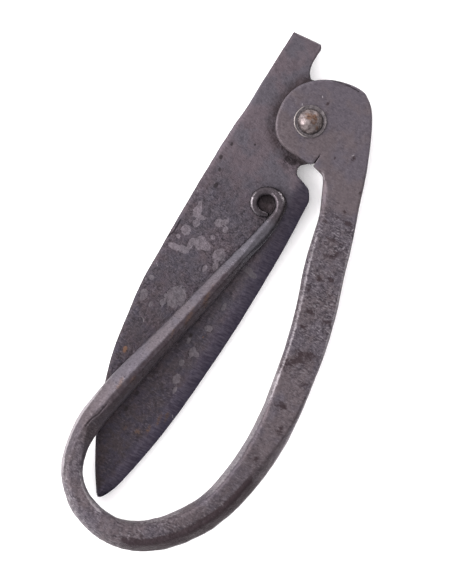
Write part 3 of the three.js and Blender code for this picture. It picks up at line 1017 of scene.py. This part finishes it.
def make_blade_look():
    """Dark rough-forged steel, with pale spots where scale has flaked off and a finely ground bevel."""
    look = Look("blade_steel")
    fine = strokes(look, .42)
    grain = look.noise(1, 4, .72, seed=2)
    ground = look.ramp(look.stray(look.attribute("ground"), grain, .5), -.4, .4)
    flake = look.ragged("flake", fine, .5, .15)
    colour, lines = blade_colour(look, fine, grain, ground, flake)
    seen = look.attribute("front")
    crack = look.times(look.scratch(CRACK, .26, fine), seen)
    colour = look.mix(look.times(crack, .85), colour, (.009, .007, .009))
    rust = look.scratch([(-22.6, 21.6), (-21.9, 21.7)], .62, grain, .9)
    small_rust = look.scratch([(-11.2, 5.3), (-11, 5.3)], .3, grain, .4)
    rust = look.math("MAXIMUM", rust, look.times(small_rust, .5))
    colour = look.mix(look.times(look.times(rust, seen), .62), colour, (.13, .068, .037))
    wear_and_highlight = look.ramp(look.stray(look.attribute("worn_and_highlit"), fine, .3), .1, .5)
    nicks = look.times(any_scratch(look, BLADE_NICKS, .17, fine), seen)
    wear_and_highlight = look.math("MAXIMUM", look.times(wear_and_highlight, .4), look.times(nicks, .4))
    colour = look.mix(wear_and_highlight, colour, (.24, .22, .23))
    rough = look.add(look.ramp(fine, .3, .7, .32, .48), look.times(flake, .12))
    bumps = look.add(look.times(grain, -1.2), look.times(fine, -1.1))
    bumps = look.times(bumps, look.add(.35, look.attribute("coarse")))
    bumps = look.mix(ground, bumps, look.times(lines, .35))
    look.height(look.add(bumps, look.times(look.add(flake, look.times(crack, 3)), -.3)), .28)
    return look.finish(colour, rough, look.add(.5, look.times(ground, .15)))


def make_rivet_look(name, light, dark):
    """Hammered steel with brown spots, darkened where it meets what it clamps and with painted shade on one
    side.
    """
    look = Look(name)
    fine = look.noise(.4, 3, .6)
    grain = look.noise(1.0, 2, .5, seed=2)
    colour = look.mix(look.ramp(grain, .35, .7), light, dark)
    # Bright where worn, with a painted highlight on the lit side of the washers' lips
    wear_and_highlight = look.ramp(look.stray(look.attribute("worn_and_highlit"), fine, .6), .15, .6)
    colour = look.mix(wear_and_highlight, colour, (.22, .197, .192))
    rust = look.ramp(look.stray(look.attribute("rust"), grain, 1.8), -.1, .7)
    brown = look.mix(look.ramp(fine, .3, .68), (.035, .02, .017), (.14, .08, .052))
    colour = look.mix(look.times(rust, .85), colour, brown)
    # Darker in a band where a head meets what it clamps, and painted shade on one side
    clamp_band_and_side_shade = look.ramp(look.stray(look.attribute("clamp_band_and_side_shade"), fine, .9), .1, .7)
    colour = look.mix(look.times(clamp_band_and_side_shade, .85), colour, (.02, .017, .018))
    look.height(look.add(look.times(grain, .6), look.times(fine, .4)), .08)
    rough = look.add(look.ramp(fine, .3, .7, .24, .38), look.times(look.add(clamp_band_and_side_shade, rust), .15))
    return look.finish(colour, rough, look.ramp(clamp_band_and_side_shade, 0, 1, .8, .4))


# ---------------------------------------------------------------- pieces

# How far a forging's sides are swelled, to make up for what relaxing and hammering take off them
SWELL = .2


def dress(piece, material, **fields):
    """Stores a piece's fields for its material, and gives it the material."""
    for name, values in fields.items():
        store(piece.data, name, values)
    piece.data.materials.clear()
    piece.data.materials.append(material)


def front_only(points, values, middle, elsewhere=-1.0):
    """Values for the points above a height, and one value for all the others."""
    return np.where(points[:, 2] > middle, values, elsewhere)


# Above this height over its back, a point of the handle carries the front's marks
HANDLE_FRONT = 1.4
# Marks on the handle's front: x, y, half width and half height of each
STAINS = [
    (-8, -16.3, 1.5, 1.2), (-5.2, -18.6, 2.6, 2.2), (-4.2, -20.4, 1.8, 1.9), (-7, -17.4, 1.8, 1.3),
    (-11, -22.5, .9, 1.1), (-18, -19.5, 1.4, 2), (2, -16.2, .6, .9), (6, -16, .7, 1.5), (5.6, -20.8, .7, 1.3),
    (15.4, -17.4, .7, 1.1), (12, -19, .6, 1.2), (11.4, -13, .9, 1), (14.5, -14.4, .7, .9),
    (20.6, -14.6, .7, 1.6), (22, -16, .7, 1.6), (24.7, -14, .5, 2.3), (28, -10, .6, 1),
    (30.4, -12.4, .6, 1.6), (30, -15.2, .6, 1.4), (32.2, -13, .5, .8), (33.8, -10.7, .4, .5),
    (38, -14.6, .5, .35), (45.5, -9.3, .5, .5), (43.5, -5.2, .4, .4), (55.2, 2.2, .8, .4),
    (-24, -22, 1.2, 1), (-33, -19.5, 1, .8), (-62.5, -2.2, .8, 1), (-53, -13.8, 1.2, 1), (-50.5, -17, 1.4, 1),
]
HANDLE_RUST = [
    (-8, 10.6, 3, .7), (-2, 8.6, 3.6, .8), (-13, 12.6, 2, .5), (-30, 19, 2, .8), (-28, 16.5, 1.4, .8),
]
# The middle of the return bar's lower facet
LOWER_FACET = [(-44, 20.2), (-36, 18.8), (-27, 16.1), (-14, 11.9), (-4, 9), (6, 5.9), (12, 3.9)]
# On the bow: the brown stripe along its outer bevel, darkened further as painted shade where the bevel faces
# away from the light, a grainy line beside it, and two darker stretches
BOW_STRIPE_AND_SHADE = [
    (-66.6, 3.5), (-66, .2), (-64.9, -3), (-63.3, -5.6), (-60.9, -8.8), (-58.2, -11.7), (-54.6, -14.5),
    (-51.2, -16.7), (-47.6, -18.6), (-44, -20), (-40, -21.3), (-36, -22.4),
]
BOW_GRAIN = [(-66, 12), (-66.2, 4), (-65, -1), (-60, -9), (-52, -16), (-44, -18.5)]
BOW_TOP = [(-60, 19), (-55, 21.5), (-49, 22.5), (-43, 22.3), (-36, 21)]
BOW_DARK = [(-63, -3), (-59, -9), (-52, -14.5), (-44, -18), (-34, -20), (-26, -20.5)]
# Edges painted bright, partly as wear and partly as painted highlights where they face the light: the arm's
# inner edge, its outer one, the eye's rim, and the bow's outer edge above and below. Each has a line, how far
# it reaches, how strong it is, and how far in its ends fade.
WORN_AND_LIT_EDGES = [
    ([(39.2, -1.4), (38.8, -3.6), (37, -5.2), (33, -6.9), (28, -8.4), (23, -9.2), (14, -11), (4, -13.2),
      (-8, -15.2), (-16, -16)], 1.6, 3, 3),
    ([(30, -17.1), (20, -19.4), (8, -22.2), (-4, -24)], 1.2, 1.6, 3),
    ([(39.5, .5), (39.85, 4.6), (40.8, 8.4), (43.8, 11.5), (48.5, 12.7), (53.5, 12), (57.8, 9), (60.5, 4.6),
      (61.7, -.8), (61.6, -4)], 1, 2.6, 3),
    ([(-67.5, 9), (-65, 14.5), (-61.5, 19.2), (-56, 23), (-48, 24.9), (-38, 24), (-28, 21)], 2.6, 2.2, 3),
    ([(-67.8, 3), (-66.4, -2), (-63.4, -7.6), (-58.7, -13.2), (-51, -18.7), (-42, -22.1), (-32, -24.3)],
     1.4, 1.6, 3),
]
# Painted highlights and sheen on lit faces and edges, given in the same way: two along the bow's outer edge,
# three along the inner edge of the bow and arm, three on the curl, and one along each side of the arm
PAINTED_HIGHLIGHTS = [
    ([(-68, 1), (-68, 6), (-67.2, 10.4), (-65, 15.4), (-61, 20), (-56.5, 22.8), (-52, 24)], 1.9, .15, 6),
    ([(-60, 20.6), (-56, 23), (-52, 24.4), (-47, 25), (-41, 24.8), (-35, 23.5), (-31, 22.2)], .8, .42, 8),
    ([(-61.3, 7), (-60.8, 10.5), (-59.6, 13.1), (-57.2, 16.2), (-54, 18.4), (-51, 19)], .75, .3, 4),
    ([(-61.2, -1), (-60, .3), (-57.4, -3.6), (-54.5, -6.6), (-51, -9.6)], .6, .22, 3),
    ([(-50, -10.7), (-45, -13), (-41, -14.2), (-34, -15.6), (-26, -16.1), (-16, -16), (-6, -14.9)],
     .8, .3, 8),
    ([(30.4, 5.2), (30.1, 3.9), (29.3, 2.7), (28.2, 1.75), (26.6, 1.2)], .5, .22, 1.5),
    ([(28, 8.9), (25.6, 9.4), (23.3, 8.3), (22.2, 6.6), (22.2, 4.2)], .4, .15, 1.2),
    ([(26.2, 9.3), (24.6, 9), (23.5, 8.3)], .4, .22, .6),
    ([(-12, -15.9), (-2, -14.7), (6, -13.2), (14, -11.2), (22, -9.6), (27, -8.4)], .6, .16, 4),
    ([(-36, -23.8), (-30, -24.5), (-18, -25), (-6, -24.1), (5, -22.7), (15, -20.4), (25, -18.2), (30, -17)],
     .5, .22, 6),
]


def strongest(points, bands):
    """The strongest of some bands at each point."""
    found = [strength * band(points, line, reach, fade) for line, reach, strength, fade in bands]
    return np.max(found, axis=0)


def handle_fields(mesh):
    """How stained, dark, coarse, smooth, brown, rusty and worn each point of the handle is, with painted
    shade on the bow's stripe and painted highlights on lit edges and bands.
    """
    points = get_points(mesh)
    x, y, z = points.T
    middle = HANDLE_Z + HANDLE_FRONT
    front = facing(mesh, .1, .45)
    # The bow's stripe: brown, and painted shade on the bevel that faces away from the light
    stripe_and_shade = band(points, BOW_STRIPE_AND_SHADE, 2.6, 4, .55) * front
    back = scattered(46, (-66, -24), (60, 20), (.6, 2.2), 5)
    stain = np.where(z > middle, spots(points, STAINS, 4, .35), spots(points, back, 6, .35))
    lower = (1 - step(path_distance(points, LOWER_FACET), .9, 1.7)) * (1 - step(x, 3, 14))
    lower *= step(z, middle - .4, middle + .4)
    bar = step(y, -2, 1) * step(x, -46, -24) * (1 - step(x, 30, 34))
    curl = bar * step(x, 0, 12)
    ring = bar * step(x, 21, 23.5)
    bow = 1 - step(x, -60, -44)
    grainy = 1 - step(x, 27, 35)
    arm = step(-y, -2, 2) * grainy * step(x, -20, 4)
    dark = np.maximum(.4 * band(points, BOW_DARK, 5, 8, .3), .5 * band(points, BOW_TOP, 4, 6, .4))
    coarse = .12 + .2 * band(points, BOW_GRAIN, 3, 4, .3) + .22 * grainy
    # Edges are painted bright as wear and as painted highlights, most on the listed edges, the curl and its
    # ring
    edge_wear_and_highlight = .7 + strongest(points, WORN_AND_LIT_EDGES) + .8 * curl + .6 * ring
    return {
        # The stripe darkens the stain, shade and brown fields, as brown colour and as painted shade
        "stain": np.maximum(stain, 2.3 * stripe_and_shade - 1),
        "shade": np.minimum(dark * front + .2 * arm + .75 * ring + .8 * stripe_and_shade, 1),
        "coarse": coarse + .65 * arm - .22 * bar + .3 * bow,
        "polish": .4 * bar + .6 * curl,
        "brown": np.maximum(lower * step(x, -46, -32), .3 * stripe_and_shade),
        "rust": front_only(points, spots(points, HANDLE_RUST, 8, .35), middle),
        # Wear on sharp edges, less on the stripe, plus painted highlight bands on the front
        "worn_and_highlit": sharpness(mesh) * edge_wear_and_highlight * (1 - .7 * stripe_and_shade) - .05 + strongest(points, PAINTED_HIGHLIGHTS) * front,
        "front": facing(mesh, .5, .8),
    }


def hammer_strength(points):
    """How deep the handle's hammer marks are: deepest on the bow and slight on the eye."""
    out = np.full(len(points), .55)
    out += .9 * step(-points[:, 0], 40, 56)
    out -= .35 * step(points[:, 0], 26, 36)
    return out


def make_handle():
    piece = make_object("handle_forging", *make_handle_mesh(), "handle", "forged_bar", "forged_handle")
    relax(piece.data, 2)
    spread(piece, SWELL * (1 - step(get_points(piece.data)[:, 0], 28, 36)))
    press(piece, [(7, .1, 1), (2.8, .1, 2), (1.2, .05, 3)], hammer_strength)
    dress(piece, make_forged_look(), **handle_fields(piece.data))


# Marks on the blade's front, as on the handle's
FLAKES = [
    (-8, 23.4, 1.6, 1.1), (-3.1, 23.5, .8, .8), (-9.3, 20.8, .9, .6), (-7.5, 18.3, 1, .8),
    (-5.6, 18.1, .6, .7), (-4.8, 15.8, 3, 2.6), (6.3, 21.6, .9, 1.6), (6.6, 19.4, 1, 1.5),
    (8.6, 18.2, 1.6, .8), (9, 21.8, .7, .6), (11.4, 20.8, 1.5, 1.4), (14, 19.2, 1.1, 1),
    (16.6, 20.1, 1.8, 1.2), (18.6, 20.4, 1.2, .6), (15.8, 18.4, .7, .9), (10, 16.2, 2, 1.5),
    (9.6, 14.2, 1.1, 1), (12.5, 14, .7, .7), (16.5, 14, 1.2, 1.3), (17.4, 12.6, .9, 1), (15.6, 11.9, .9, .8),
    (9.3, 10.6, 2, 1.6), (6.4, 10.2, 1.3, .8), (-23.3, 6.8, 1.4, 1.1), (-26, 6, .9, .5), (-19.2, 7.4, .9, .7),
    (-15.7, 6.1, 1.5, .8), (-15.8, 5, .8, .9), (-8.6, 5.1, .9, 1.1), (8.9, 2.6, .9, 1.3), (8.2, .7, .7, 1.2),
    (4.6, 12.4, 1, .6), (-13.4, 8.2, 1, .5), (-2, 3.8, 1.2, .6),
]
FLAKE_DEPTH = .04
# Dark pits; the two against the eye's edge and the large one inside the curl are painted shade
BLADE_PITS_AND_SHADE = [
    (31.5, 20.7, .8, .6), (35.7, 19.7, .6, .5), (28.6, 19.6, .6, .5), (24.6, 18.7, 1, .6),
    (-35.5, 15, .8, .5), (-30.8, 14.2, .8, .6), (-12, 8.2, .8, .5), (38, 14.3, .5, .4), (38.3, 4.4, 1, 2),
    (38.9, 2.2, .6, 1.4), (26.9, 5.5, 1.7, 1.8),
]
BLADE_BROWN = [
    (-39.6, 9.8, 1, 1.5), (-38, 7.8, 1.8, .8), (-34.8, 6.3, 2, .8), (-33, 5, 1.8, .7), (-40, 13.2, 1.1, .6),
]
# The pit beside the eye, where the blade is coarsest
EYE_PIT = (38.2, 4.2)
# The return bar's lower side, above the blade, along which a painted shadow falls on the blade: x, and y
BAR_LOWER_SIDE = [(-60, 19), (-45, 19), (-38, 17.7), (-25, 13.9), (-5, 7.9), (12, 3.2), (21, .6)]


def blade_fields(mesh):
    """How light its flakes are, and how dark, coarse, ground, grimy, flaked, pitted, brown and worn each
    point of the blade is. Painted shade lies under the return bar, by the eye, inside the curl and in some
    pits.
    """
    points = get_points(mesh)
    x, y, z = points.T
    middle = BLADE_Z + TANG_THICK / 2
    above = y - np.interp(x, *np.transpose(EDGE_LINE))
    width = np.interp(x, [-58, -45, 10, 30], [2.4, 3.2, 4, 4.6])
    # Painted shade on the blade next to the eye, with some grime, and inside the curl
    eye_shade_and_grime = 1 - step(path_distance(points, EYE_OUTLINE), .3, 3.4)
    curl_shade = 1 - step(np.hypot(x - CURL_CENTRE[0], y - CURL_CENTRE[1]), 1.9, 3.2)
    back_flakes = scattered(34, (-50, 0), (40, 22), (.5, 2.0), 21)
    shade = np.interp(x, [-56, -30, 0, 25, 34], [.85, .72, .42, .3, 0])
    # A painted shadow of the return bar on the blade, below its lower side
    shadow_under_bar = step(np.interp(x, *np.transpose(BAR_LOWER_SIDE)) - y, -.5, 1.5) * (1 - step(x, 18, 30))
    coarse = np.interp(x, [-55, -20, 22, 32], [.5, .7, .6, .12])
    return {
        # Flakes are lighter in the middle of the blade, and darker where they lie under the return bar as
        # painted shade
        "flake_lightness_and_shade": .35 + .65 * step(x, -8, 6) * step(y, 8, 13) - .35 * step(x, 4, 8) * (1 - step(y, 3, 6)),
        "shade": np.clip(shade + .04 * shadow_under_bar, 0, 1),
        "coarse": coarse + .5 * (1 - step(np.hypot(x - EYE_PIT[0], y - EYE_PIT[1]), 1, 3)),
        "ground": np.where(x < 36, 1 - above / width, -1),
        "grime_and_shade": np.maximum(eye_shade_and_grime, curl_shade) * front_only(points, 1.0, middle, 0.0),
        "flake": np.where(z > middle, spots(points, FLAKES, 12, .22), spots(points, back_flakes, 13, .3)),
        "pits_and_shade": front_only(points, spots(points, BLADE_PITS_AND_SHADE, 14, .3), middle),
        "brown": front_only(points, spots(points, BLADE_BROWN, 15, .4), middle),
        "worn_and_highlit": sharpness(mesh) * 1.3 - .05,
        "front": facing(mesh, .5, .8),
    }


def make_blade():
    piece = make_object("blade_forging", *make_blade_mesh(), "blade", "blade_steel", "blade")
    bore(piece)
    relax(piece.data, 1)
    up = step(get_normals(piece.data)[:, 1], .1, .6)
    spread(piece, SWELL * up * (1 - step(get_points(piece.data)[:, 0], 50, 60)))
    press(piece, [(5, .06, 5), (1.6, .03, 6)])
    fields = blade_fields(piece.data)
    sunk = step(fields["flake"], -.05, .2) * FLAKE_DEPTH
    set_points(piece.data, get_points(piece.data) - get_normals(piece.data) * sunk[:, None])
    dress(piece, make_blade_look(), **fields)


# Brown spots on the rivet's head
RIVET_RUST = [(49.8, 4.9, 1.2, 1.3), (50.2, 3.7, 1, 1.2), (48.8, 3.4, .7, .8), (48.3, 2.2, .9, .5)]


# The sides, as angles about the pivot, that get painted shade and on which the washers' lips are painted
# bright, as wear and as painted highlight
SHADED_SIDE = math.radians(-130)
WORN_AND_LIT_SIDE = math.radians(120)


def ring_fields(mesh, low, high):
    """Fields of a rivet or a washer. It is darker in a band between two radii, with painted shade on one
    side.
    """
    points = get_points(mesh)
    x, y = (points[:, :2] - PIVOT).T
    away, turn = np.hypot(x, y), np.arctan2(y, x)
    # Painted shade on the side away from the light
    painted_side_shade = .25 * np.cos(turn - SHADED_SIDE)
    # The washers' lips are painted bright as wear, brightest on the lit side as a painted highlight
    lip_wear_and_highlight = step(away, 3.7, 3.95) * np.maximum(np.cos(turn - WORN_AND_LIT_SIDE), .2)
    return {
        "worn_and_highlit": lip_wear_and_highlight,
        "rust": spots(points, RIVET_RUST, 17, .35),
        "clamp_band_and_side_shade": step(away, low - .3, low) * (1 - step(away, high, high + .3)) + painted_side_shade,
    }


def make_rivet_and_washers():
    bright = make_rivet_look("rivet_steel", (.16, .136, .134), (.07, .056, .056))
    dull = make_rivet_look("washer_steel", (.105, .093, .097), (.06, .052, .056))
    rivet = make_object("rivet", *make_rivet_mesh(), "handle", "rivet_steel", "pivot_rivet")
    relax(rivet.data, 1)
    press(rivet, [(2.3, .2, 7), (.8, .06, 8)])
    dress(rivet, bright, **ring_fields(rivet.data, HEAD_RADIUS, 5))
    washers = [
        ("front_washer", FRONT_WASHER_Z, FRONT_WASHER_TOP, True),
        ("back_washer", BACK_WASHER_Z, BACK_WASHER_TOP, False),
    ]
    for name, low, high, front in washers:
        ring = make_object(name + "_ring", *make_washer_mesh(low, high, front), "handle", "rivet_steel", name)
        relax(ring.data, 1)
        press(ring, [(1.8, .1, 9), (.7, .04, 10)])
        dress(ring, dull, **ring_fields(ring.data, 0, 3.05))


make_handle()
make_blade()
make_rivet_and_washers()


# ---------------------------------------------------------------- stage

# Metres and degrees. The camera looks straight down, turned about the vertical. The length is its picture's
# longer side, at the height of the knife's middle.
CAMERA_PLACE = (1.57 * MM, 4.98 * MM, .7)
CAMERA_TURN = -64.5
PICTURE_LENGTH = .146
KNIFE_MIDDLE = .006
SENSOR = 36
FLOOR_SIZE = 4
FLOOR_DROP = .0002
FLOOR_WHITE = .95
FLOOR_GLOW = .14
# The room's light: its colour, the direction of its bright side, and its strength on its dark and bright side
LIGHT_TINT = (1, .975, .99)
BRIGHT_SIDE = 100
DIM, GLOW = .2, 3.3
LIGHT_DISTANCE = .6


def make_floor():
    bpy.ops.mesh.primitive_plane_add(size=FLOOR_SIZE, location=(0, 0, cad_low.z - FLOOR_DROP))
    floor = bpy.context.object
    floor.name = "floor"
    material = bpy.data.materials.new("floor")
    material.use_nodes = True
    shader = material.node_tree.nodes["Principled BSDF"]
    shader.inputs["Base Color"].default_value = (FLOOR_WHITE, FLOOR_WHITE, FLOOR_WHITE, 1)
    shader.inputs["Roughness"].default_value = .9
    shader.inputs["Emission Color"].default_value = (1, 1, 1, 1)
    shader.inputs["Emission Strength"].default_value = FLOOR_GLOW
    floor.data.materials.append(material)


def make_camera():
    data = bpy.data.cameras.new("camera")
    camera = bpy.data.objects.new("camera", data)
    bpy.context.scene.collection.objects.link(camera)
    camera.location = CAMERA_PLACE
    camera.rotation_euler = (0, 0, math.radians(CAMERA_TURN))
    data.sensor_width = SENSOR
    data.lens = SENSOR * (CAMERA_PLACE[2] - KNIFE_MIDDLE) / PICTURE_LENGTH
    bpy.context.scene.camera = camera


def make_light(name, direction, elevation, size, power):
    """A soft round light that looks at the origin."""
    data = bpy.data.lights.new(name, "AREA")
    data.shape = "DISK"
    data.size = size
    data.energy = power
    data.color = LIGHT_TINT
    light = bpy.data.objects.new(name, data)
    bpy.context.scene.collection.objects.link(light)
    turn, rise = math.radians(direction), math.radians(elevation)
    flat = math.cos(rise)
    place = Vector((math.cos(turn) * flat, math.sin(turn) * flat, math.sin(rise))) * LIGHT_DISTANCE
    light.location = place
    light.rotation_euler = (-place).to_track_quat("-Z", "Y").to_euler()


def make_world():
    """A soft white room, brighter on one side and darker on the other."""
    world = bpy.data.worlds.new("world")
    bpy.context.scene.world = world
    world.use_nodes = True
    tree = world.node_tree
    place = tree.nodes.new("ShaderNodeTexCoord")
    side = tree.nodes.new("ShaderNodeVectorMath")
    side.operation = "DOT_PRODUCT"
    turn = math.radians(BRIGHT_SIDE)
    side.inputs[1].default_value = (math.cos(turn), math.sin(turn), 0)
    tree.links.new(place.outputs["Generated"], side.inputs[0])
    glow = tree.nodes.new("ShaderNodeMapRange")
    for socket, number in zip(list(glow.inputs)[1:], (-1, 1, DIM, GLOW)):
        socket.default_value = number
    tree.links.new(side.outputs["Value"], glow.inputs[0])
    back = tree.nodes["Background"]
    back.inputs["Color"].default_value = (*LIGHT_TINT, 1)
    tree.links.new(glow.outputs[0], back.inputs["Strength"])


bpy.context.scene.view_settings.view_transform = "Standard"
make_floor()
make_camera()
make_world()
make_light("key", direction=108, elevation=38, size=.36, power=2.9)
make_light("rim", direction=-15, elevation=24, size=.2, power=.9)
